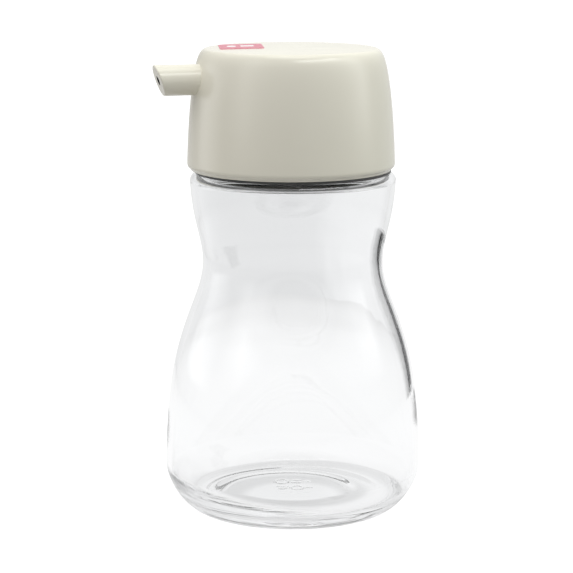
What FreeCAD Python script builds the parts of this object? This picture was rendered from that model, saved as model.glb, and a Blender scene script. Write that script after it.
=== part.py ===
import FreeCAD, Part
import math
import os

from FreeCAD import Vector

# Glass condiment dispenser: a waisted clear glass bottle with a recessed base,
# a thin dark sealing ring on its shoulder, a moulded cap that sits over
# the neck, a slim pouring spout through the cap's wall and a small paper
# sticker on the cap's top.
#
# Millimetres. +Z is up, the origin is on the bottle's axis in the plane it
# stands on. The spout points along -X.

# ---------------------------------------------------------------- dimensions
# bottle, outside
FOOT_R = 24.2            # outer radius of the flat ring the bottle stands on
HEEL_R = 31.41           # outer radius where the rounded heel ends
HEEL_H = 9.8             # height of the rounded heel
HEEL_POWER = 1.5         # fullness of the heel's curve (2 is a quarter ellipse)
BELLY_Z, BELLY_R = 24.8, 30.86
FLANK_Z, FLANK_R = 38.0, 28.86
LOWER_WAIST_Z, LOWER_WAIST_R = 50.4, 24.86
PRE_WAIST_Z, PRE_WAIST_R = 56.0, 22.90
WAIST_Z, WAIST_R = 61.6, 22.06
POST_WAIST_Z, POST_WAIST_R = 67.2, 22.85
UPPER_WAIST_Z, UPPER_WAIST_R = 72.7, 24.08
SHOULDER_R = 25.12       # radius where the shoulder starts to turn in
SHOULDER_TOP_Z = 83.2    # height of the shoulder's flat top
SHOULDER_ROUND = 2.0     # radius of the shoulder's outer edge
SLOPE_HEEL = 0.03        # dR/dz at the top of the heel
SLOPE_SHOULDER = 0.055   # dR/dz at the start of the shoulder

# bottle, neck
NECK_R = 20.0
NECK_BORE_R = 18.0
NECK_TOP_Z = 95.5
NECK_LIP_ROUND = 0.9
NECK_ROOT_ROUND = 0.8

# bottle, inside
WALL_BELLY = 1.15        # wall thickness at the belly
WALL_NECK = 1.30         # wall thickness from the waist up
FLOOR_Z = 3.5            # height of the inside floor at FLOOR_R
FLOOR_DOME = 0.35        # how much higher the floor is at its centre
FLOOR_R = 22.0           # radius of the near-flat floor, inside the corner
INNER_HEEL_Z = 1.20      # height where the corner's own curve starts, under the floor
INNER_HEEL_TOP_Z = 9.8   # where the inside corner meets the wall
INNER_HEEL_POWER = 1.5   # fullness of the inside corner's curve
INNER_CREASE = 0.12      # softness of the crease between that curve and the floor
SHOULDER_THICK = 1.45    # glass between the shoulder's flat top and the hollow
INNER_SHOULDER_ROUND = 1.0
BORE_ROUND = 0.8

# bottle, underside: a shallow recess inside the standing ring, in two steps
PUNT_OUTER_R = 22.4
PUNT_STEP_R = 19.0
PUNT_STEP_Z = 0.40
PUNT_INNER_R = 14.0
PUNT_DEPTH = 1.35
PUNT_DOME = 0.15

# sealing ring
SEAL_IN_R = 20.45
SEAL_OUT_R = 23.9
SEAL_THICK = 1.10
SEAL_ROUND = 0.15

# cap
CAP_SHIFT = 0.45         # the cap sits this far off the bottle's axis, towards the spout
LIP_Z = 83.95            # underside of the cap
LIP_R = 24.45            # thin lip under the skirt
LIP_H = 0.65
LIP_ROUND = 0.25
SKIRT_EDGE_R = 24.75     # skirt's lower edge, before its rounding
SKIRT_ROUND_H = 1.15
SKIRT_STATIONS = (       # height above the cap's underside, radius
    (1.55, 25.27), (4.05, 25.21), (8.55, 25.00), (14.55, 24.58), (20.45, 23.92), (24.05, 23.33),
)
CAP_EDGE_R = 20.3        # radius where the top starts to turn down
CAP_EDGE_Z = 113.25      # height there
CAP_DOME = 0.35          # how much higher the top is at its centre
CAP_EDGE_POWER = 2.0
CAP_BORE_R = 20.6        # socket over the neck, and the hollow above it
CAP_HOLLOW_R = 20.1
CAP_HOLLOW_TOP_Z = 110.9
CAP_SOCKET_TOP_Z = 96.0
SEAL_RECESS = 0.40       # shallow seat for the sealing ring
SEAL_RECESS_R = 24.0

# spout
SPOUT_R = 3.70
SPOUT_BORE_R = 1.05
SPOUT_Z = 106.2
SPOUT_REACH = 33.3       # distance of the middle of the tip from the bottle's axis
SPOUT_SLANT = 19.0       # degrees that the tip is cut back below
SPOUT_EDGE = 0.28        # rounding of the tip's edge

# sticker
LABEL_SIZE_X = 10.6
LABEL_SIZE_Y = 14.6
LABEL_THICK = 0.12
LABEL_CORNER = 1.0
LABEL_CENTRE = (-11.7, 4.9)
LABEL_TURN = -12.0       # degrees


# ------------------------------------------------------------------ geometry
def clamped_spline(stations, slope_a, slope_b):
    """Returns a function for the cubic spline through (z, r) stations with given end slopes."""
    z = [s[0] for s in stations]
    r = [s[1] for s in stations]
    n = len(z)
    h = [z[i + 1] - z[i] for i in range(n - 1)]
    a = [0.0] * n
    b = [2.0] * n
    c = [0.0] * n
    d = [0.0] * n
    b[0] = 1.0
    d[0] = slope_a
    b[-1] = 1.0
    d[-1] = slope_b
    for i in range(1, n - 1):
        a[i] = h[i] / (h[i - 1] + h[i])
        c[i] = 1.0 - a[i]
        d[i] = 3.0 * (a[i] * (r[i] - r[i - 1]) / h[i - 1] + c[i] * (r[i + 1] - r[i]) / h[i])
    for i in range(1, n):
        m = a[i] / b[i - 1]
        b[i] -= m * c[i - 1]
        d[i] -= m * d[i - 1]
    slope = [0.0] * n
    slope[-1] = d[-1] / b[-1]
    for i in range(n - 2, -1, -1):
        slope[i] = (d[i] - c[i] * slope[i + 1]) / b[i]

    def at(q):
        i = 0
        while i < n - 2 and q > z[i + 1]:
            i += 1
        t = (q - z[i]) / h[i]
        return (
            (1 + 2 * t) * (1 - t) ** 2 * r[i]
            + t * (1 - t) ** 2 * h[i] * slope[i]
            + t * t * (3 - 2 * t) * r[i + 1]
            + t * t * (t - 1) * h[i] * slope[i + 1]
        )

    return at


def superellipse(r0, z0, r1, z1, power, count):
    """Points of a corner that leaves (r0, z0) along R and reaches (r1, z1) along Z."""
    out = []
    for i in range(count + 1):
        f = math.pi / 2 * i / count
        u = math.sin(f) ** (2.0 / power)
        v = 1.0 - math.cos(f) ** (2.0 / power)
        out.append((r0 + (r1 - r0) * u, z0 + (z1 - z0) * v))
    return out


def dome(r_edge, z_edge, rise, count):
    """Points of a shallow spherical rise, from its edge to the axis."""
    out = []
    for i in range(count + 1):
        r = r_edge * (1 - i / count)
        out.append((r, z_edge + rise * (1 - (r / r_edge) ** 2)))
    return out


def arc(rc, zc, radius, deg_a, deg_b, count):
    out = []
    for i in range(count + 1):
        f = math.radians(deg_a + (deg_b - deg_a) * i / count)
        out.append((rc + radius * math.cos(f), zc + radius * math.sin(f)))
    return out


def floor_height(r):
    return FLOOR_Z + FLOOR_DOME * (1 - (r / FLOOR_R) ** 2)


def inside_corner(r_low, count):
    """Points of the inside corner: it follows the heel and meets the floor in a soft crease."""
    out = [(FLOOR_R, FLOOR_Z)]
    for r, z in superellipse(FLOOR_R, INNER_HEEL_Z, r_low, INNER_HEEL_TOP_Z, INNER_HEEL_POWER, count)[1:]:
        low = floor_height(r)
        out.append((r, low + INNER_CREASE * math.log1p(math.exp((z - low) / INNER_CREASE))))
    return out


def smooth_step(r0, z0, r1, z1, count):
    """Points of an S-shaped step from (r0, z0) to (r1, z1), level at both ends."""
    out = []
    for i in range(count + 1):
        t = i / count
        out.append((r0 + (r1 - r0) * t, z0 + (z1 - z0) * (t * t * (3 - 2 * t))))
    return out


def vec(p):
    return Vector(p[0], 0, p[1])


def curve(points):
    """An edge along the points: a line for two, otherwise an interpolating B-spline."""
    if len(points) == 2:
        return Part.LineSegment(vec(points[0]), vec(points[1])).toShape()
    spline = Part.BSplineCurve()
    spline.interpolate([vec(p) for p in points])
    return spline.toShape()


def turned(runs, shift_x=0.0):
    """A solid of revolution about Z from runs of (r, z) points that close into a loop."""
    edges = []
    for k, run in enumerate(runs):
        if k and (abs(run[0][0] - runs[k - 1][-1][0]) > 1e-7 or abs(run[0][1] - runs[k - 1][-1][1]) > 1e-7):
            edges.append(curve([runs[k - 1][-1], run[0]]))
        edges.append(curve(run))
    last, first = runs[-1][-1], runs[0][0]
    if abs(last[0] - first[0]) > 1e-7 or abs(last[1] - first[1]) > 1e-7:
        edges.append(curve([last, first]))
    face = Part.Face(Part.Wire(edges))
    solid = face.revolve(Vector(0, 0, 0), Vector(0, 0, 1), 360)
    if solid.ShapeType != "Solid":
        solid = Part.Solid(Part.Shell(solid.Faces))
    if solid.Volume < 0:
        solid.reverse()
    if shift_x:
        solid.translate(Vector(shift_x, 0, 0))
    return solid


# -------------------------------------------------------------- glass bottle
SHOULDER_START_Z = SHOULDER_TOP_Z - SHOULDER_ROUND
outer_radius = clamped_spline(
    (
        (HEEL_H, HEEL_R), (BELLY_Z, BELLY_R), (FLANK_Z, FLANK_R), (LOWER_WAIST_Z, LOWER_WAIST_R),
        (PRE_WAIST_Z, PRE_WAIST_R), (WAIST_Z, WAIST_R), (POST_WAIST_Z, POST_WAIST_R),
        (UPPER_WAIST_Z, UPPER_WAIST_R), (SHOULDER_START_Z, SHOULDER_R),
    ),
    SLOPE_HEEL,
    SLOPE_SHOULDER,
)


def wall_at(z):
    t = min(max((z - BELLY_Z) / (WAIST_Z - BELLY_Z), 0.0), 1.0)
    return WALL_BELLY + (WALL_NECK - WALL_BELLY) * t


def inner_point(z):
    """The inside of the wall opposite the outside point at height z."""
    e = 0.01
    slope = (outer_radius(z + e) - outer_radius(z - e)) / (2 * e)
    k = wall_at(z) / math.hypot(1.0, slope)
    return outer_radius(z) - k, z + k * slope


def body_run(z_a, z_b, count):
    return [(outer_radius(z_a + (z_b - z_a) * i / count), z_a + (z_b - z_a) * i / count) for i in range(count + 1)]


heel = superellipse(FOOT_R, 0.0, HEEL_R, HEEL_H, HEEL_POWER, 10)
body = body_run(HEEL_H, SHOULDER_START_Z, 22)
shoulder = arc(SHOULDER_R - SHOULDER_ROUND, SHOULDER_START_Z, SHOULDER_ROUND, 0, 90, 8)
neck_root = arc(NECK_R + NECK_ROOT_ROUND, SHOULDER_TOP_Z + NECK_ROOT_ROUND, NECK_ROOT_ROUND, 270, 180, 5)
lip_outer = arc(NECK_R - NECK_LIP_ROUND, NECK_TOP_Z - NECK_LIP_ROUND, NECK_LIP_ROUND, 0, 90, 5)
lip_inner = arc(NECK_BORE_R + NECK_LIP_ROUND, NECK_TOP_Z - NECK_LIP_ROUND, NECK_LIP_ROUND, 90, 180, 5)
SHOULDER_UNDER_Z = SHOULDER_TOP_Z - SHOULDER_THICK
bore_corner = arc(NECK_BORE_R + BORE_ROUND, SHOULDER_UNDER_Z + BORE_ROUND, BORE_ROUND, 180, 270, 5)
INNER_SHOULDER_Z = SHOULDER_UNDER_Z - INNER_SHOULDER_ROUND
# height on the outside whose inside point lies where the inner shoulder starts
z_match = INNER_SHOULDER_Z
for _ in range(30):
    z_match += INNER_SHOULDER_Z - inner_point(z_match)[1]
inner_top_r = inner_point(z_match)[0]
inner_shoulder = arc(inner_top_r - INNER_SHOULDER_ROUND, INNER_SHOULDER_Z, INNER_SHOULDER_ROUND, 90, 0, 6)
z_low = INNER_HEEL_TOP_Z
for _ in range(30):
    z_low += INNER_HEEL_TOP_Z - inner_point(z_low)[1]
inner_wall = [inner_point(z_match + (z_low - z_match) * i / 22) for i in range(23)]
inner_heel = inside_corner(inner_point(z_low)[0], 40)[::-1]
floor = dome(FLOOR_R, FLOOR_Z, FLOOR_DOME, 6)
punt_top = dome(PUNT_INNER_R, PUNT_DEPTH, PUNT_DOME, 6)[::-1]
punt_wall = smooth_step(PUNT_INNER_R, PUNT_DEPTH, PUNT_STEP_R, PUNT_STEP_Z, 8)
punt_rim = smooth_step(PUNT_STEP_R, PUNT_STEP_Z, PUNT_OUTER_R, 0.0, 8)
bottle = turned(
    [
        heel, body, shoulder, neck_root, lip_outer, lip_inner, bore_corner, inner_shoulder,
        inner_wall, inner_heel, floor, punt_top, punt_wall, punt_rim,
    ]
)

# -------------------------------------------------------------- sealing ring
SEAL_Z = SHOULDER_TOP_Z + 0.03
seal_top = SEAL_Z + SEAL_THICK
seal = turned(
    [
        arc(SEAL_OUT_R - SEAL_ROUND, SEAL_Z + SEAL_ROUND, SEAL_ROUND, 270, 360, 3),
        arc(SEAL_OUT_R - SEAL_ROUND, seal_top - SEAL_ROUND, SEAL_ROUND, 0, 90, 3),
        [(SEAL_IN_R + 0.6, seal_top), (SEAL_IN_R + 0.6, SEAL_Z)],
    ]
)

# ----------------------------------------------------------------------- cap
side_stations = [(LIP_Z + h, r) for h, r in SKIRT_STATIONS]
cap_side_radius = clamped_spline(side_stations, 0.01, -0.20)
side_top_z = side_stations[-1][0]
side_top_r = side_stations[-1][1]
skirt_low_z = LIP_Z + LIP_H
cap_lip = arc(LIP_R - LIP_ROUND, LIP_Z + LIP_ROUND, LIP_ROUND, 270, 360, 4)
cap_skirt_round = superellipse(SKIRT_EDGE_R, skirt_low_z, side_stations[0][1], side_stations[0][0], 2.0, 6)
cap_side = [
    (cap_side_radius(side_stations[0][0] + (side_top_z - side_stations[0][0]) * i / 16),
     side_stations[0][0] + (side_top_z - side_stations[0][0]) * i / 16)
    for i in range(17)
]
# the rounded top edge: a Bezier corner tangent to the side and to the top
corner_a = (side_top_r, side_top_z)
corner_b = (side_top_r - 0.20 * 2.9, side_top_z + 2.9)
corner_c = (CAP_EDGE_R + 1.75, CAP_EDGE_Z - 0.06)
corner_d = (CAP_EDGE_R, CAP_EDGE_Z)
cap_corner = []
for i in range(11):
    t = i / 10
    w = ((1 - t) ** 3, 3 * t * (1 - t) ** 2, 3 * t * t * (1 - t), t ** 3)
    cap_corner.append(
        tuple(sum(w[j] * p[k] for j, p in enumerate((corner_a, corner_b, corner_c, corner_d))) for k in (0, 1))
    )
cap_top = dome(CAP_EDGE_R, CAP_EDGE_Z, CAP_DOME, 6)
cap_hollow = [
    [(0.0, CAP_HOLLOW_TOP_Z), (CAP_HOLLOW_R - 1.5, CAP_HOLLOW_TOP_Z)],
    arc(CAP_HOLLOW_R - 1.5, CAP_HOLLOW_TOP_Z - 1.5, 1.5, 90, 0, 5),
    [(CAP_HOLLOW_R, CAP_SOCKET_TOP_Z), (CAP_BORE_R, CAP_SOCKET_TOP_Z)],
    [(CAP_BORE_R, LIP_Z + SEAL_RECESS), (SEAL_RECESS_R, LIP_Z + SEAL_RECESS)],
    [(SEAL_RECESS_R, LIP_Z), (LIP_R - LIP_ROUND, LIP_Z)],
]
cap = turned([cap_lip, cap_skirt_round, cap_side, cap_corner, cap_top] + cap_hollow, -CAP_SHIFT)

# --------------------------------------------------------------------- spout
# The tube runs from the cap's hollow out along -X, and its tip is cut on a slant.
inner_end = CAP_SHIFT + CAP_HOLLOW_R - 0.9
tube_len = SPOUT_REACH + 4.0 - inner_end
outer_tube = Part.makeCylinder(SPOUT_R, tube_len, Vector(-inner_end, 0, SPOUT_Z), Vector(-1, 0, 0))
bore = Part.makeCylinder(SPOUT_BORE_R, tube_len + 2, Vector(-inner_end + 1, 0, SPOUT_Z), Vector(-1, 0, 0))
slant = math.radians(SPOUT_SLANT)
tip = Vector(-SPOUT_REACH, 0, SPOUT_Z)
# a slab beyond the slanted plane through the middle of the tip: its normal looks out and down
cutter = Part.makeBox(12, 24, 24, Vector(0, -12, -12))
cutter.rotate(Vector(0, 0, 0), Vector(0, 1, 0), 180 - SPOUT_SLANT)
cutter.translate(tip)
spout_solid = outer_tube.cut(cutter)
rim = [
    e for e in spout_solid.Edges
    if e.BoundBox.XMax < -SPOUT_REACH + SPOUT_R * math.tan(slant) + 0.05 and e.BoundBox.ZLength > SPOUT_R
]
spout_solid = spout_solid.makeFillet(SPOUT_EDGE, rim)
spout = spout_solid.cut(bore)
if spout.ShapeType != "Solid":
    spout = spout.Solids[0]
cap = cap.cut(Part.makeCylinder(SPOUT_R, 12, Vector(-inner_end + 2, 0, SPOUT_Z), Vector(-1, 0, 0)))
if cap.ShapeType != "Solid":
    cap = cap.Solids[0]

# ------------------------------------------------------------------- sticker
dome_sphere = (CAP_EDGE_R ** 2 + CAP_DOME ** 2) / (2 * CAP_DOME)


def dome_solid(lift):
    edge = CAP_EDGE_R - 0.02
    rise = lambda r: CAP_EDGE_Z + CAP_DOME * (1 - (r / CAP_EDGE_R) ** 2) + lift
    upper = [(edge * (1 - i / 6), rise(edge * (1 - i / 6))) for i in range(7)]
    return turned([[(0.0, CAP_EDGE_Z - 2.0), (edge, CAP_EDGE_Z - 2.0)], upper], -CAP_SHIFT)


w, h, c = LABEL_SIZE_X / 2, LABEL_SIZE_Y / 2, LABEL_CORNER
prism = Part.makeBox(2 * w, 2 * h, 6, Vector(-w, -h, 0))
prism = prism.makeFillet(c, [e for e in prism.Edges if abs(e.BoundBox.ZLength - 6) < 1e-3 and e.BoundBox.XLength < 1e-3])
prism.rotate(Vector(0, 0, 0), Vector(0, 0, 1), LABEL_TURN)
prism.translate(Vector(LABEL_CENTRE[0], LABEL_CENTRE[1], CAP_EDGE_Z - 1.5))
label = prism.common(dome_solid(LABEL_THICK)).cut(dome_solid(0.0))
if label.ShapeType != "Solid":
    label = label.Solids[0]

# -------------------------------------------------------------------- export
os.makedirs("parts", exist_ok=True)
for name, solid in (
    ("glass_bottle", bottle),
    ("seal_ring", seal),
    ("cap", cap),
    ("spout", spout),
    ("top_label", label),
):
    assert solid.isValid(), name
    assert len(solid.Solids) == 1, name
    solid.exportStep("parts/%s.step" % name)
    b = solid.BoundBox
    print(
        "%-13s vol %9.2f mm3  x %.2f..%.2f  y %.2f..%.2f  z %.2f..%.2f  faces %d"
        % (name, solid.Volume, b.XMin, b.XMax, b.YMin, b.YMax, b.ZMin, b.ZMax, len(solid.Faces))
    )
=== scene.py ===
import math

import bpy
import numpy as np
from mathutils import Matrix, Vector


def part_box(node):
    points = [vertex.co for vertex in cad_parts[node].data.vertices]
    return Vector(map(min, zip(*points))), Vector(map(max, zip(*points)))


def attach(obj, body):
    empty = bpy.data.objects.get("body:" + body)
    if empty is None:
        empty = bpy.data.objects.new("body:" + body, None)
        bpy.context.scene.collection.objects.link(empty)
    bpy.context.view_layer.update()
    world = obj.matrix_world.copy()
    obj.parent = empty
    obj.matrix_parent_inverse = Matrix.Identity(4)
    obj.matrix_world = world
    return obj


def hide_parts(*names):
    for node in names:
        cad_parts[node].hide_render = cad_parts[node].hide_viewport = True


# Looks of the glass condiment dispenser: a waisted clear glass bottle, a dark
# sealing ring, a satin moulded cap with its spout, and a small paper sticker.
# Sizes below are millimetres; Blender's objects are metres.

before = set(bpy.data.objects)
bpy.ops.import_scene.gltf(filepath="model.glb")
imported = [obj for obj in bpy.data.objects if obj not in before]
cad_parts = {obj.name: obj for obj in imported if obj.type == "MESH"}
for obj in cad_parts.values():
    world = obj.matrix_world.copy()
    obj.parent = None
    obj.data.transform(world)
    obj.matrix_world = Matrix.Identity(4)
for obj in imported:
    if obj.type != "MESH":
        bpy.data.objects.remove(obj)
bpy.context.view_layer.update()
MM = 0.001

# ------------------------------------------------------------ the glass shape
FOOT_R = 24.2
HEEL_R = 31.41
HEEL_H = 9.8
HEEL_POWER = 1.5
BELLY_Z, BELLY_R = 24.8, 30.86
FLANK_Z, FLANK_R = 38.0, 28.86
LOWER_WAIST_Z, LOWER_WAIST_R = 50.4, 24.86
PRE_WAIST_Z, PRE_WAIST_R = 56.0, 22.90
WAIST_Z, WAIST_R = 61.6, 22.06
POST_WAIST_Z, POST_WAIST_R = 67.2, 22.85
UPPER_WAIST_Z, UPPER_WAIST_R = 72.7, 24.08
SHOULDER_R = 25.12
SHOULDER_TOP_Z = 83.2
SHOULDER_ROUND = 2.0
SLOPE_HEEL = 0.03
SLOPE_SHOULDER = 0.055

NECK_R = 20.0
NECK_BORE_R = 18.0
NECK_TOP_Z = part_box("glass_bottle")[1].z / MM
NECK_LIP_ROUND = 0.9
NECK_ROOT_ROUND = 0.8

WALL_BELLY = 1.15
WALL_NECK = 1.30
FLOOR_Z = 3.5
FLOOR_DOME = 0.35
FLOOR_R = 22.0
INNER_HEEL_Z = 1.20
INNER_HEEL_TOP_Z = 9.8
INNER_HEEL_POWER = 1.5
INNER_CREASE = 0.12
SHOULDER_THICK = 1.45
INNER_SHOULDER_ROUND = 1.0
BORE_ROUND = 0.8

PUNT_OUTER_R = 22.4
PUNT_STEP_R = 19.0
PUNT_STEP_Z = 0.40
PUNT_INNER_R = 14.0
PUNT_DEPTH = 1.35
PUNT_DOME = 0.15

CAP_SHIFT = 0.45
SEGMENTS = 192


def clamped_spline(stations, slope_a, slope_b):
    """The cubic spline through (z, r) stations with given end slopes."""
    z = [s[0] for s in stations]
    r = [s[1] for s in stations]
    n = len(z)
    h = [z[i + 1] - z[i] for i in range(n - 1)]
    a = [0.0] * n
    b = [2.0] * n
    c = [0.0] * n
    d = [0.0] * n
    b[0] = b[-1] = 1.0
    d[0], d[-1] = slope_a, slope_b
    for i in range(1, n - 1):
        a[i] = h[i] / (h[i - 1] + h[i])
        c[i] = 1.0 - a[i]
        d[i] = 3.0 * (a[i] * (r[i] - r[i - 1]) / h[i - 1] + c[i] * (r[i + 1] - r[i]) / h[i])
    for i in range(1, n):
        m = a[i] / b[i - 1]
        b[i] -= m * c[i - 1]
        d[i] -= m * d[i - 1]
    slope = [0.0] * n
    slope[-1] = d[-1] / b[-1]
    for i in range(n - 2, -1, -1):
        slope[i] = (d[i] - c[i] * slope[i + 1]) / b[i]

    def at(q):
        i = 0
        while i < n - 2 and q > z[i + 1]:
            i += 1
        t = (q - z[i]) / h[i]
        return (
            (1 + 2 * t) * (1 - t) ** 2 * r[i]
            + t * (1 - t) ** 2 * h[i] * slope[i]
            + t * t * (3 - 2 * t) * r[i + 1]
            + t * t * (t - 1) * h[i] * slope[i + 1]
        )

    return at


def superellipse(r0, z0, r1, z1, power, count):
    out = []
    for i in range(count + 1):
        f = math.pi / 2 * i / count
        out.append(
            (r0 + (r1 - r0) * math.sin(f) ** (2.0 / power), z0 + (z1 - z0) * (1.0 - math.cos(f) ** (2.0 / power)))
        )
    return out


def dome(r_edge, z_edge, rise, count):
    out = []
    for i in range(count + 1):
        r = r_edge * (1 - i / count)
        out.append((r, z_edge + rise * (1 - (r / r_edge) ** 2)))
    return out


def arc(rc, zc, radius, deg_a, deg_b, count):
    out = []
    for i in range(count + 1):
        f = math.radians(deg_a + (deg_b - deg_a) * i / count)
        out.append((rc + radius * math.cos(f), zc + radius * math.sin(f)))
    return out


def floor_height(r):
    return FLOOR_Z + FLOOR_DOME * (1 - (r / FLOOR_R) ** 2)


def inner_heel(r_low, count):
    """The inside corner: it follows the heel, and meets the floor in a soft crease."""
    out = [(FLOOR_R, FLOOR_Z)]
    for r, z in superellipse(FLOOR_R, INNER_HEEL_Z, r_low, INNER_HEEL_TOP_Z, INNER_HEEL_POWER, count)[1:]:
        low = floor_height(r)
        out.append((r, low + INNER_CREASE * math.log1p(math.exp((z - low) / INNER_CREASE))))
    return out


def smooth_step(r0, z0, r1, z1, count):
    out = []
    for i in range(count + 1):
        t = i / count
        out.append((r0 + (r1 - r0) * t, z0 + (z1 - z0) * (t * t * (3 - 2 * t))))
    return out


SHOULDER_START_Z = SHOULDER_TOP_Z - SHOULDER_ROUND
outer_radius = clamped_spline(
    (
        (HEEL_H, HEEL_R), (BELLY_Z, BELLY_R), (FLANK_Z, FLANK_R), (LOWER_WAIST_Z, LOWER_WAIST_R),
        (PRE_WAIST_Z, PRE_WAIST_R), (WAIST_Z, WAIST_R), (POST_WAIST_Z, POST_WAIST_R),
        (UPPER_WAIST_Z, UPPER_WAIST_R), (SHOULDER_START_Z, SHOULDER_R),
    ),
    SLOPE_HEEL,
    SLOPE_SHOULDER,
)


def inner_point(z):
    """The inside of the wall opposite the outside point at height z."""
    t = min(max((z - BELLY_Z) / (WAIST_Z - BELLY_Z), 0.0), 1.0)
    e = 0.01
    slope = (outer_radius(z + e) - outer_radius(z - e)) / (2 * e)
    k = (WALL_BELLY + (WALL_NECK - WALL_BELLY) * t) / math.hypot(1.0, slope)
    return outer_radius(z) - k, z + k * slope


def solve_inner(height):
    q = height
    for _ in range(30):
        q += height - inner_point(q)[1]
    return q


def bottle_runs():
    """The glass's profile as named runs of (r, z), going round it once."""
    body_n, wall_n = 96, 96
    under = SHOULDER_TOP_Z - SHOULDER_THICK
    inner_top = under - INNER_SHOULDER_ROUND
    z_match, z_low = solve_inner(inner_top), solve_inner(INNER_HEEL_TOP_Z)
    r_match, r_low = inner_point(z_match)[0], inner_point(z_low)[0]
    return [
        ("heel", superellipse(FOOT_R, 0.0, HEEL_R, HEEL_H, HEEL_POWER, 34)),
        ("body", [
            (outer_radius(HEEL_H + (SHOULDER_START_Z - HEEL_H) * i / body_n), HEEL_H + (SHOULDER_START_Z - HEEL_H) * i / body_n)
            for i in range(body_n + 1)
        ]),
        ("shoulder", arc(SHOULDER_R - SHOULDER_ROUND, SHOULDER_START_Z, SHOULDER_ROUND, 0, 90, 14)),
        ("neck_root", arc(NECK_R + NECK_ROOT_ROUND, SHOULDER_TOP_Z + NECK_ROOT_ROUND, NECK_ROOT_ROUND, 270, 180, 8)),
        ("lip_outer", arc(NECK_R - NECK_LIP_ROUND, NECK_TOP_Z - NECK_LIP_ROUND, NECK_LIP_ROUND, 0, 90, 8)),
        ("lip_inner", arc(NECK_BORE_R + NECK_LIP_ROUND, NECK_TOP_Z - NECK_LIP_ROUND, NECK_LIP_ROUND, 90, 180, 8)),
        ("bore_corner", arc(NECK_BORE_R + BORE_ROUND, under + BORE_ROUND, BORE_ROUND, 180, 270, 8)),
        ("inner_shoulder", arc(r_match - INNER_SHOULDER_ROUND, inner_top, INNER_SHOULDER_ROUND, 90, 0, 14)),
        ("inner_wall", [inner_point(z_match + (z_low - z_match) * i / wall_n) for i in range(wall_n + 1)]),
        ("inner_heel", inner_heel(r_low, 72)[::-1]),
        ("floor", dome(FLOOR_R, FLOOR_Z, FLOOR_DOME, 24)),
        ("punt_top", dome(PUNT_INNER_R, PUNT_DEPTH, PUNT_DOME, 48)[::-1]),
        ("punt_wall", smooth_step(PUNT_INNER_R, PUNT_DEPTH, PUNT_STEP_R, PUNT_STEP_Z, 28)),
        ("punt_rim", smooth_step(PUNT_STEP_R, PUNT_STEP_Z, PUNT_OUTER_R, 0.0, 20)),
        ("foot", [(PUNT_OUTER_R + (FOOT_R - PUNT_OUTER_R) * i / 5, 0.0) for i in range(6)]),
    ]


def mesh_object(name, verts, faces, smooth=True):
    mesh = bpy.data.meshes.new(name)
    mesh.from_pydata([tuple(v) for v in verts], [], faces)
    mesh.update()
    mesh.validate()
    for p in mesh.polygons:
        p.use_smooth = smooth
    obj = bpy.data.objects.new(name, mesh)
    bpy.context.scene.collection.objects.link(obj)
    return obj


def window(x, lo, hi, soft):
    """1 between lo and hi, falling smoothly to 0 over soft on each side."""
    a = np.clip((x - lo) / soft, 0, 1)
    b = np.clip((hi - x) / soft, 0, 1)
    return (a * a * (3 - 2 * a)) * (b * b * (3 - 2 * b))


def glass_unevenness(theta, z):
    """How far, in mm, the blown inside of the wall lies from its true line."""
    slow = (
        0.050 * np.cos(2 * theta + 0.7 + 0.020 * z)
        + 0.034 * np.cos(3 * theta - 1.1 - 0.045 * z)
        + 0.020 * np.cos(5 * theta + 2.3 + 0.030 * z)
        + 0.014 * np.cos(8 * theta + 0.4 - 0.060 * z)
    )
    fine = (
        0.0050 * np.cos(21 * theta + 0.09 * z)
        + 0.0040 * np.cos(34 * theta - 1.9 - 0.05 * z)
        + 0.0025 * np.cos(55 * theta + 0.8)
    )
    bands = 0.012 * np.cos(0.42 * z + 1.3 * np.cos(theta + 0.5)) + 0.008 * np.cos(0.83 * z + 2.1 * np.cos(2 * theta))
    return slow * window(z, 13.0, 84.0, 12.0) + fine * window(z, 24.0, 66.0, 9.0) + bands * window(z, 30.0, 80.0, 8.0)


def base_marks(x, y):
    """Height in mm of small moulded marks under the base: two rows of bars and dots with no meaning."""
    turn = math.radians(16.0)
    u = x * math.cos(turn) - y * math.sin(turn)
    v = x * math.sin(turn) + y * math.cos(turn)
    h = np.zeros_like(x)

    def bar(cu, cv, half, thin=0.42):
        return np.exp(-(((v - cv) / thin) ** 2)) * window(u, cu - half - 0.4, cu + half + 0.4, 0.5)

    def dot(cu, cv, size=0.62):
        return np.exp(-(((u - cu) ** 2 + (v - cv) ** 2) / size ** 2))

    def ring(cu, cv, radius):
        return np.exp(-(((np.hypot(u - cu, (v - cv) * 0.8) - radius) / 0.42) ** 2))

    for shape in (
        ring(-2.7, 6.6, 1.5), bar(0.9, 7.6, 1.0), bar(0.9, 5.4, 1.0), dot(3.7, 6.6),
        bar(-2.6, 1.6, 1.1), dot(-2.6, 0.0), ring(1.2, 0.9, 1.3), bar(4.0, 0.9, 0.5),
    ):
        h = np.maximum(h, 0.20 * shape)
    return h


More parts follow.
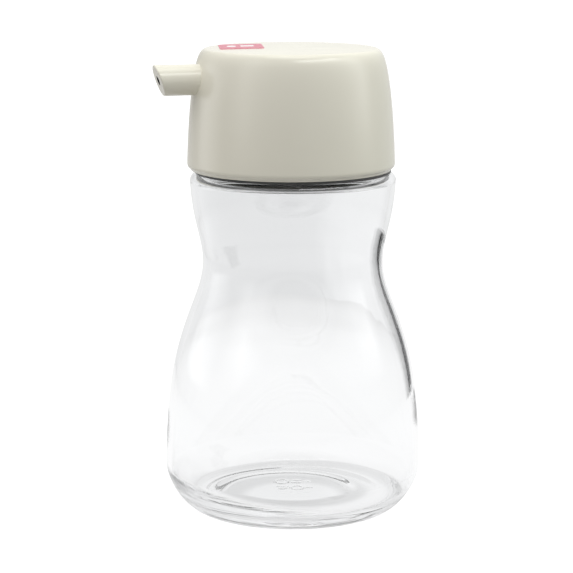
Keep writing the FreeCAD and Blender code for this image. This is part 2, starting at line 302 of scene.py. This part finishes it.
def build_bottle():
    rings = []
    kinds = []
    for name, run in bottle_runs():
        for p in run:
            if rings and abs(rings[-1][0] - p[0]) < 1e-5 and abs(rings[-1][1] - p[1]) < 1e-5:
                continue
            rings.append(p)
            kinds.append(name)
    if abs(rings[-1][0] - rings[0][0]) < 1e-5 and abs(rings[-1][1] - rings[0][1]) < 1e-5:
        rings.pop()
        kinds.pop()
    theta = np.linspace(0, 2 * math.pi, SEGMENTS, endpoint=False)
    verts, index, start = [], [], 0
    inside = {"inner_shoulder", "inner_wall", "inner_heel"}
    drift = (math.cos(math.radians(16.0)), -math.sin(math.radians(16.0)))
    for (r, z), kind in zip(rings, kinds):
        if r < 1e-6:
            verts.append(np.array([[0.0, 0.0, z]]))
            index.append([start])
            start += 1
            continue
        rr = np.full(SEGMENTS, float(r))
        zz = np.full(SEGMENTS, float(z))
        if kind in inside:
            rr = rr + glass_unevenness(theta, zz)
        if kind == "body":
            rr = rr + 0.22 * glass_unevenness(theta * 1.0 + 1.0, zz)
        x, y = rr * np.cos(theta), rr * np.sin(theta)
        if kind in {"inner_heel", "floor"}:
            # the hollow's floor lies a little to one side, as in blown glass
            t = min(max((z - 3.0) / (INNER_HEEL_TOP_Z - 3.0), 0.0), 1.0)
            d = 1.1 * (1 - t * t * (3 - 2 * t)) * min(r / 12.0, 1.0)
            x, y = x + d * drift[0] - 0.5 * d * drift[1], y + d * drift[1] + 0.5 * d * drift[0]
        if kind in {"punt_top", "punt_wall", "punt_rim"}:
            t = min(max((PUNT_OUTER_R - r) / (PUNT_OUTER_R - PUNT_STEP_R), 0.0), 1.0)
            d = -1.7 * t * t * (3 - 2 * t)
            x, y = x + d * drift[0], y + d * drift[1]
        if kind == "punt_top":
            zz = zz - base_marks(x, y)
        verts.append(np.stack([x, y, zz], 1))
        index.append(list(range(start, start + SEGMENTS)))
        start += SEGMENTS
    faces = []
    n = len(rings)
    for k in range(n):
        a, b = index[k], index[(k + 1) % n]
        if len(a) == 1 and len(b) == 1:
            continue
        for i in range(SEGMENTS):
            j = (i + 1) % SEGMENTS
            if len(a) == 1:
                faces.append((a[0], b[j], b[i]))
            elif len(b) == 1:
                faces.append((a[i], a[j], b[0]))
            else:
                faces.append((a[i], a[j], b[j], b[i]))
    return mesh_object("bottle_glass", np.concatenate(verts) * MM, faces)


# ----------------------------------------------------------------- materials
class Nodes:
    """A few short names for building a node tree."""

    def __init__(self, tree):
        self.t = tree
        self.t.nodes.clear()

    def add(self, kind, **props):
        node = self.t.nodes.new(kind)
        for k, v in props.items():
            setattr(node, k, v)
        return node

    def set(self, node, **values):
        for k, v in values.items():
            name = k.replace("_", " ")
            sock = node.inputs[name]
            if isinstance(v, bpy.types.NodeSocket):
                self.t.links.new(v, sock)
            else:
                sock.default_value = v
        return node

    def math(self, op, a, b=0.0, c=None, clamp=False):
        node = self.add("ShaderNodeMath", operation=op, use_clamp=clamp)
        for i, v in enumerate((a, b, c)):
            if v is None:
                continue
            if isinstance(v, bpy.types.NodeSocket):
                self.t.links.new(v, node.inputs[i])
            else:
                node.inputs[i].default_value = v
        return node.outputs[0]

    def vec(self, op, a, b=None):
        node = self.add("ShaderNodeVectorMath", operation=op)
        for i, v in enumerate((a, b)):
            if v is None:
                continue
            if isinstance(v, bpy.types.NodeSocket):
                self.t.links.new(v, node.inputs[i])
            else:
                node.inputs[i].default_value = v
        return node.outputs["Value"] if op in ("DOT_PRODUCT", "LENGTH") else node.outputs[0]

    def noise(self, vector, scale, detail=2.0, rough=0.5):
        node = self.add("ShaderNodeTexNoise")
        self.set(node, Scale=scale, Detail=detail, Roughness=rough)
        self.t.links.new(vector, node.inputs["Vector"])
        return node.outputs[0]

    def remap(self, value, a, b, lo, hi):
        node = self.add("ShaderNodeMapRange")
        node.inputs["From Min"].default_value = a
        node.inputs["From Max"].default_value = b
        node.inputs["To Min"].default_value = lo
        node.inputs["To Max"].default_value = hi
        self.t.links.new(value, node.inputs["Value"])
        return node.outputs[0]

    def ramp(self, value, stops):
        node = self.add("ShaderNodeValToRGB")
        els = node.color_ramp.elements
        while len(els) > 1:
            els.remove(els[-1])
        els[0].position = stops[0][0]
        els[0].color = (*stops[0][1], 1.0)
        for pos, col in stops[1:]:
            e = els.new(pos)
            e.color = (*col, 1.0)
        self.t.links.new(value, node.inputs[0])
        return node.outputs[0]

    def mix(self, fac, a, b, blend="MIX"):
        node = self.add("ShaderNodeMix", data_type="RGBA", blend_type=blend)
        for sock, v in ((node.inputs[0], fac), (node.inputs[6], a), (node.inputs[7], b)):
            if isinstance(v, bpy.types.NodeSocket):
                self.t.links.new(v, sock)
            elif isinstance(v, (tuple, list)):
                sock.default_value = (*v, 1.0)[:4]
            else:
                sock.default_value = v
        return node.outputs[2]

    def bump(self, height, strength, distance, normal=None):
        node = self.add("ShaderNodeBump")
        self.set(node, Strength=strength, Distance=distance)
        self.t.links.new(height, node.inputs["Height"])
        if normal is not None:
            self.t.links.new(normal, node.inputs["Normal"])
        return node.outputs[0]

    def place(self):
        return self.add("ShaderNodeTexCoord").outputs["Object"]


def new_material(name):
    m = bpy.data.materials.new(name)
    m.use_nodes = True
    n = Nodes(m.node_tree)
    shader = n.add("ShaderNodeBsdfPrincipled")
    out = n.add("ShaderNodeOutputMaterial")
    m.node_tree.links.new(shader.outputs[0], out.inputs["Surface"])
    return m, n, shader


def glass_material():
    m, n, s = new_material("clear_glass_look")
    at = n.place()
    tint = n.ramp(n.noise(at, 34.0, 3.0), [(0.30, (0.9950, 0.9965, 0.9980)), (0.70, (0.9990, 0.9993, 0.9998))])
    rough = n.remap(n.noise(at, 260.0, 4.0), 0.35, 0.75, 0.0, 0.012)
    n.set(s, Base_Color=tint, Roughness=rough)
    s.inputs["Transmission Weight"].default_value = 1.0
    s.inputs["IOR"].default_value = 1.52
    s.inputs["Specular IOR Level"].default_value = 0.5
    wave = n.bump(n.noise(at, 55.0, 1.0), 0.20, 0.00003)
    n.set(s, Normal=wave)
    return m


def plastic_material():
    m, n, s = new_material("cap_plastic_look")
    at = n.place()
    tone = n.noise(at, 42.0, 3.0)
    colour = n.ramp(tone, [(0.25, (0.774, 0.748, 0.643)), (0.75, (0.804, 0.778, 0.672))])
    # Painted shade: the cap's inner walls (within about 21 mm of the axis, below the ceiling) and the spout's bore
    # are painted near-black, standing in for the shade inside them.
    sep = n.add("ShaderNodeSeparateXYZ")
    m.node_tree.links.new(at, sep.inputs[0])
    off = n.math("ADD", sep.outputs[0], CAP_SHIFT * MM)
    radius = n.math("SQRT", n.math("ADD", n.math("MULTIPLY", off, off), n.math("MULTIPLY", sep.outputs[1], sep.outputs[1])))
    within = n.remap(radius, 0.02085, 0.0211, 1.0, 0.0)
    below = n.remap(sep.outputs[2], 0.1111, 0.1114, 1.0, 0.0)
    inside = n.math("MULTIPLY", within, below)
    rise = n.math("SUBTRACT", sep.outputs[2], 0.1062)
    from_bore = n.math("SQRT", n.math("ADD", n.math("MULTIPLY", rise, rise), n.math("MULTIPLY", sep.outputs[1], sep.outputs[1])))
    painted_bore_shade = n.math("MULTIPLY", n.remap(from_bore, 0.00106, 0.00116, 1.0, 0.0), n.remap(sep.outputs[0], -0.0240, -0.0236, 1.0, 0.0))
    inside = n.math("MAXIMUM", inside, painted_bore_shade)
    speck = n.noise(at, 640.0, 2.0)
    colour = n.mix(n.remap(speck, 0.58, 0.78, 0.0, 0.05), colour, (0.74, 0.72, 0.625))
    # painted shade: near-black on the cap's inner walls and in the spout's bore
    colour = n.mix(inside, colour, (0.030, 0.030, 0.028))
    rough = n.math("ADD", n.remap(n.noise(at, 120.0, 3.0), 0.3, 0.7, 0.190, 0.225), n.remap(n.noise(at, 1500.0, 2.0), 0.3, 0.7, 0.0, 0.02))
    n.set(s, Base_Color=colour, Roughness=rough)
    s.inputs["IOR"].default_value = 1.5
    s.inputs["Specular IOR Level"].default_value = 0.5
    grain = n.bump(n.noise(at, 900.0, 2.0), 0.12, 0.000008)
    soft = n.bump(n.noise(at, 60.0, 2.0), 0.20, 0.00005, grain)
    n.set(s, Normal=soft)
    return m


def rubber_material():
    m, n, s = new_material("seal_rubber_look")
    at = n.place()
    colour = n.ramp(n.noise(at, 300.0, 3.0), [(0.3, (0.012, 0.012, 0.011)), (0.7, (0.026, 0.026, 0.024))])
    rough = n.remap(n.noise(at, 700.0, 3.0), 0.3, 0.7, 0.38, 0.58)
    n.set(s, Base_Color=colour, Roughness=rough, Normal=n.bump(n.noise(at, 1800.0, 3.0), 0.5, 0.00002))
    return m


def sticker_material():
    """A pink gloss sticker with a plain white oval and a plain white block."""
    m, n, s = new_material("sticker_look")
    centre = (-11.7 * MM, 4.9 * MM)
    turn = math.radians(-12.0)
    sep = n.add("ShaderNodeSeparateXYZ")
    m.node_tree.links.new(n.place(), sep.inputs[0])
    dx = n.math("SUBTRACT", sep.outputs[0], centre[0])
    dy = n.math("SUBTRACT", sep.outputs[1], centre[1])
    c, q = math.cos(turn), math.sin(turn)
    u = n.math("MULTIPLY", n.math("ADD", n.math("MULTIPLY", dx, c), n.math("MULTIPLY", dy, q)), 1.0 / MM)
    v = n.math("MULTIPLY", n.math("ADD", n.math("MULTIPLY", dx, -q), n.math("MULTIPLY", dy, c)), 1.0 / MM)

    def box_mask(cu, cv, hu, hv, soft=0.12):
        a = n.math("SUBTRACT", n.math("ABSOLUTE", n.math("SUBTRACT", u, cu)), hu)
        b = n.math("SUBTRACT", n.math("ABSOLUTE", n.math("SUBTRACT", v, cv)), hv)
        return n.remap(n.math("MAXIMUM", a, b), -soft, soft, 1.0, 0.0)

    def oval_mask(cu, cv, ru, rv, soft=0.06):
        a = n.math("DIVIDE", n.math("SUBTRACT", u, cu), ru)
        b = n.math("DIVIDE", n.math("SUBTRACT", v, cv), rv)
        d = n.math("SQRT", n.math("ADD", n.math("MULTIPLY", a, a), n.math("MULTIPLY", b, b)))
        return n.remap(d, 1.0 - soft, 1.0 + soft, 1.0, 0.0)

    marks = n.math("MAXIMUM", oval_mask(-2.3, 0.0, 1.15, 2.3), box_mask(1.5, 0.0, 1.6, 1.9))
    ink = n.ramp(n.noise(n.place(), 900.0, 3.0), [(0.3, (0.600, 0.150, 0.215)), (0.7, (0.680, 0.200, 0.265))])
    paper = n.ramp(n.noise(n.place(), 1400.0, 4.0), [(0.3, (0.80, 0.78, 0.77)), (0.7, (0.90, 0.89, 0.88))])
    n.set(s, Base_Color=n.mix(marks, ink, paper), Roughness=n.remap(n.noise(n.place(), 500.0, 3.0), 0.3, 0.7, 0.30, 0.38))
    n.set(s, Normal=n.bump(n.noise(n.place(), 1600.0, 3.0), 0.3, 0.00001))
    return m


# -------------------------------------------------------------------- pieces
bottle = build_bottle()
bottle.data.materials.append(glass_material())
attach(bottle, "root")
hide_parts("glass_bottle")

plastic = plastic_material()
for node, material in (
    ("cap", plastic), ("spout", plastic), ("seal_ring", rubber_material()), ("top_label", sticker_material()),
):
    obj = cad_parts[node]
    for k in range(len(obj.material_slots)):
        obj.material_slots[k].material = material
    if not obj.material_slots:
        obj.data.materials.append(material)

# -------------------------------------------------------------------- camera
VIEW_AZ = math.radians(16.0)
back = Vector((-math.sin(VIEW_AZ), -math.cos(VIEW_AZ), 0.0))
right = Vector((math.cos(VIEW_AZ), -math.sin(VIEW_AZ), 0.0))
pitch = math.radians(10.74)
cam_data = bpy.data.cameras.new("camera")
cam_data.sensor_width = 36.0
cam_data.lens = 135.02
cam_data.clip_start, cam_data.clip_end = 0.01, 50.0
camera = bpy.data.objects.new("camera", cam_data)
bpy.context.scene.collection.objects.link(camera)
camera.location = back * 0.520 - right * 0.00155 + Vector((0, 0, 0.1533))
aim = (-back) * math.cos(pitch) + Vector((0, 0, -math.sin(pitch)))
camera.rotation_euler = aim.to_track_quat("-Z", "Y").to_euler()
bpy.context.scene.camera = camera

# --------------------------------------------------------------------- stage
def stage_material(name, colour, emission=0.0, emit_colour=(1, 1, 1)):
    m, n, s = new_material(name)
    tone = n.ramp(n.noise(n.place(), 6.0, 2.0), [(0.2, tuple(c * 0.985 for c in colour)), (0.8, colour)])
    n.set(s, Base_Color=tone, Roughness=0.9)
    s.inputs["Specular IOR Level"].default_value = 0.1
    s.inputs["Emission Color"].default_value = (*emit_colour, 1.0)
    s.inputs["Emission Strength"].default_value = emission
    return m


def disc(name, radius, z, count=128):
    verts = [(0.0, 0.0, z)] + [
        (radius * math.cos(2 * math.pi * i / count), radius * math.sin(2 * math.pi * i / count), z) for i in range(count)
    ]
    faces = [(0, 1 + i, 1 + (i + 1) % count) for i in range(count)]
    return mesh_object(name, verts, faces, False)


floor = disc("floor", 4.0, -0.0002)
floor.data.materials.append(stage_material("floor_paper", (0.22, 0.22, 0.22), 0.86))
floor.visible_diffuse = False
floor.visible_transmission = False
floor.visible_glossy = False

dark = stage_material("dark_card", (0.004, 0.004, 0.004))


def around(deg, dist):
    """A point on the floor at an angle to the right of straight behind, as the camera sees it."""
    a = math.radians(deg)
    p = (-back) * math.cos(a) + right * math.sin(a)
    return p * dist


def glow_material(name, across, along=None):
    """Paper lit from behind: its brightness follows one or two ramps over its own place."""
    m, n, s = new_material(name)
    at = n.place()
    side = n.vec("DOT_PRODUCT", at, tuple(right))
    depth = n.vec("DOT_PRODUCT", at, tuple(-back))
    colour = across(n, at, side, depth)
    n.set(s, Base_Color=(0.0, 0.0, 0.0, 1.0), Emission_Color=colour)
    s.inputs["Roughness"].default_value = 0.9
    s.inputs["Specular IOR Level"].default_value = 0.0
    s.inputs["Emission Strength"].default_value = 1.0
    return m


def greys(*stops):
    return [(p, (v * 0.992, v * 0.996, v)) for p, v in stops]


def unseen(obj):
    """A card that shows only in and through the glass."""
    obj.visible_camera = False
    obj.visible_diffuse = False
    obj.visible_shadow = False
    return obj


WALL_DIST = 0.285


# Painted light and shadow: the floor as the glass shows it is a glowing card. It is bright round the bottle and
# dimmer far off, with painted shadow rings about 13.5 to 18 mm (under the base's slope) and 25 to 27.6 mm (under the
# heel) from the axis.
def floor_glow_painted_shadow(n, at, side, depth):
    dist = n.math("SQRT", n.math("ADD", n.math("MULTIPLY", side, side), n.math("MULTIPLY", depth, depth)))
    return n.ramp(
        n.math("DIVIDE", dist, 0.30),
        greys((0.0, 0.90), (0.036, 0.90), (0.045, 0.66), (0.060, 0.66), (0.067, 0.90), (0.077, 0.92), (0.083, 0.74), (0.092, 0.74), (0.110, 0.94), (0.15, 0.985), (0.35, 0.995), (0.50, 0.98), (0.62, 0.955), (0.74, 0.91), (0.84, 0.83), (0.92, 0.765), (0.955, 0.77)),
    )


def wall_glow(n, at, side, depth):
    turn = n.remap(n.math("ARCTAN2", side, depth), -math.pi, math.pi, 0.0, 1.0)
    deg = lambda d: 0.5 + d / 360.0
    ring = n.ramp(
        turn,
        greys(
            (deg(-180), 0.86), (deg(-110), 0.80), (deg(-75), 0.76), (deg(-50), 0.78), (deg(-35), 0.87), (deg(-20), 0.89), (deg(-10), 0.79), (deg(0), 0.78),
            (deg(3.2), 0.79), (deg(4.6), 0.90), (deg(14), 0.93), (deg(26), 0.88), (deg(40), 0.80), (deg(75), 0.78), (deg(110), 0.80), (deg(180), 0.86),
        ),
    )
    sep = n.add("ShaderNodeSeparateXYZ")
    n.t.links.new(at, sep.inputs[0])
    rise = n.ramp(n.math("DIVIDE", sep.outputs[2], 0.40), greys((0.0, 0.96), (0.05, 1.0), (0.3, 1.0), (0.8, 1.12)))
    return n.mix(1.0, ring, rise, "MULTIPLY")


def soft_lights(n, at, side, depth):
    """The same wall as the surfaces reflect it: with two tall soft lights in front, right and left."""
    turn = n.remap(n.math("ARCTAN2", side, depth), -math.pi, math.pi, 0.0, 1.0)
    deg = lambda d: 0.5 + d / 360.0
    ring = n.ramp(
        turn,
        greys(
            (deg(-180), 0.30), (deg(-155), 0.36), (deg(-138), 0.52), (deg(-128), 0.74), (deg(-118), 0.50), (deg(-108), 0.27), (deg(-90), 0.25),
            (deg(-60), 0.25), (deg(-50), 0.14), (deg(-22), 0.14), (deg(-12), 0.24), (deg(0), 0.24), (deg(72), 0.25), (deg(82), 0.42), (deg(90), 0.90), (deg(100), 0.78), (deg(115), 0.50), (deg(135), 0.36), (deg(180), 0.30),
        ),
    )
    sep = n.add("ShaderNodeSeparateXYZ")
    n.t.links.new(at, sep.inputs[0])
    lift = n.ramp(n.math("DIVIDE", sep.outputs[2], 0.40), greys((0.0, 0.0), (0.12, 0.0), (0.30, 1.0), (1.0, 1.0)))
    plain = (0.25, 0.25, 0.25)
    low_light = n.ramp(
        turn, greys((deg(-180), 0.0), (deg(-100), 0.0), (deg(-88), 0.28), (deg(-75), 0.42), (deg(-65), 0.26), (deg(-58), 0.0), (deg(180), 0.0))
    )
    band = n.ramp(n.math("DIVIDE", sep.outputs[2], 0.40), greys((0.0, 0.0), (0.06, 0.0), (0.11, 1.0), (0.36, 1.0), (0.48, 0.0), (1.0, 0.0)))
    total = n.mix(1.0, n.mix(lift, plain, ring), n.mix(1.0, low_light, band, "MULTIPLY"), "ADD")
    return n.mix(1.0, total, (3.3, 3.3, 3.3), "MULTIPLY")


# the glowing stand-in for the floor, with painted shadow rings, seen only in and through the glass
glow = disc("floor_glow_painted_shadow", WALL_DIST + 0.01, -0.0003)
glow.data.materials.append(glow_material("floor_glow_painted_shadow", floor_glow_painted_shadow))
unseen(glow)


def round_wall(name, dist, deg_a, deg_b, low, high, material, count=144):
    """Part of an upright cylinder round the bottle's axis; deg_a may be given for its lower and its upper edge."""
    starts = deg_a if isinstance(deg_a, tuple) else (deg_a, deg_a)
    verts, faces = [], []
    for i in range(count + 1):
        for start, z in zip(starts, (low, high)):
            p = around(start + (deg_b - start) * i / count, dist)
            verts.append((p.x, p.y, z))
    for i in range(count):
        faces.append((2 * i, 2 * i + 2, 2 * i + 3, 2 * i + 1))
    obj = mesh_object(name, verts, faces, True)
    obj.data.materials.append(material)
    return unseen(obj)


through_wall = round_wall("round_backdrop", WALL_DIST, -180.0, 180.0, -0.0003, 0.40, glow_material("backdrop_glow", wall_glow))
through_wall.visible_glossy = False
shine_wall = round_wall("round_softbox", WALL_DIST, -180.0, 180.0, -0.0003, 0.40, glow_material("softbox_glow", soft_lights))
shine_wall.visible_transmission = False
key = round_wall("key_light", 0.20, 104.0, 172.0, 0.29, 0.40, stage_material("key_light", (0.0, 0.0, 0.0), 5.0), 16)
key.visible_transmission = False
round_wall("dark_card", 0.050, (64.0, 47.0), 80.0, 0.0245, 0.0585, dark, 24)

# --------------------------------------------------------------------- light
world = bpy.data.worlds.new("studio")
bpy.context.scene.world = world
world.use_nodes = True
w = Nodes(world.node_tree)
direction = w.add("ShaderNodeTexCoord").outputs["Generated"]
sep = w.add("ShaderNodeSeparateXYZ")
world.node_tree.links.new(direction, sep.inputs[0])
height = w.remap(sep.outputs[2], -1.0, 1.0, 0.0, 1.0)
total = w.ramp(
    height,
    [
        (0.00, (0.240, 0.237, 0.230)),
        (0.25, (0.010, 0.010, 0.010)),
        (0.46, (0.036, 0.036, 0.035)),
        (0.55, (0.150, 0.149, 0.146)),
        (0.75, (0.300, 0.300, 0.300)),
        (1.00, (0.770, 0.770, 0.770)),
    ],
)
total = w.mix(1.0, total, (2.0, 2.0, 2.0), "MULTIPLY")


def toward(deg, elev):
    """A direction at an angle to the right of the camera, seen from the object, and above the horizon."""
    a, e = math.radians(deg), math.radians(elev)
    return (back * math.cos(a) + right * math.sin(a)) * math.cos(e) + Vector((0, 0, math.sin(e)))


for deg, elev, power, colour in (
    (74.0, 25.0, 12.0, (0.64, 0.67, 0.645)),
    (98.0, 25.0, 12.0, (1.24, 1.30, 1.25)),
    (-95.0, 25.0, 12.0, (0.94, 0.92, 0.885)),
    (-20.0, 25.0, 12.0, (0.17, 0.166, 0.160)),
    (20.0, 25.0, 12.0, (0.13, 0.13, 0.13)),
    (90.0, 62.0, 10.0, (0.66, 0.69, 0.66)),
    (0.0, 62.0, 10.0, (0.23, 0.23, 0.23)),
    (0.0, 80.0, 12.0, (0.36, 0.36, 0.36)),
    (-60.0, -30.0, 8.0, (0.66, 0.645, 0.62)),
    (20.0, -30.0, 8.0, (0.18, 0.18, 0.175)),
):
    dot = w.vec("DOT_PRODUCT", direction, tuple(toward(deg, elev)))
    lobe = w.math("POWER", w.math("MAXIMUM", dot, 0.0), power)
    total = w.mix(1.0, total, w.mix(lobe, (0, 0, 0), colour), "ADD")
env = w.add("ShaderNodeBackground")
world.node_tree.links.new(total, env.inputs["Color"])
room_colour = w.ramp(
    height,
    [
        (0.00, (0.86, 0.86, 0.86)),
        (0.50, (0.86, 0.865, 0.87)),
        (0.62, (0.90, 0.905, 0.91)),
        (0.88, (0.85, 0.85, 0.85)),
        (0.905, (0.50, 0.50, 0.50)),
        (0.974, (0.45, 0.45, 0.45)),
        (0.984, (2.4, 2.4, 2.4)),
        (1.00, (2.6, 2.6, 2.6)),
    ],
)
room = w.add("ShaderNodeBackground")
world.node_tree.links.new(room_colour, room.inputs["Color"])
plain = w.add("ShaderNodeBackground")
plain.inputs["Color"].default_value = (1.02, 1.02, 1.02, 1.0)
ray = w.add("ShaderNodeLightPath")
through = w.math("MAXIMUM", ray.outputs["Is Transmission Ray"], ray.outputs["Is Glossy Ray"])
first = w.add("ShaderNodeMixShader")
world.node_tree.links.new(through, first.inputs[0])
world.node_tree.links.new(env.outputs[0], first.inputs[1])
world.node_tree.links.new(room.outputs[0], first.inputs[2])
switch = w.add("ShaderNodeMixShader")
world.node_tree.links.new(ray.outputs["Is Camera Ray"], switch.inputs[0])
world.node_tree.links.new(first.outputs[0], switch.inputs[1])
world.node_tree.links.new(plain.outputs[0], switch.inputs[2])
out = w.add("ShaderNodeOutputWorld")
world.node_tree.links.new(switch.outputs[0], out.inputs["Surface"])

scene = bpy.context.scene
scene.view_settings.view_transform = "Standard"
scene.view_settings.look = "None"
scene.cycles.max_bounces = 160
scene.cycles.transmission_bounces = 160
scene.cycles.glossy_bounces = 160
scene.cycles.diffuse_bounces = 4
scene.cycles.transparent_max_bounces = 12
scene.cycles.use_denoising = True
scene.cycles.caustics_refractive = True
scene.cycles.caustics_reflective = True
scene.cycles.blur_glossy = 0.0
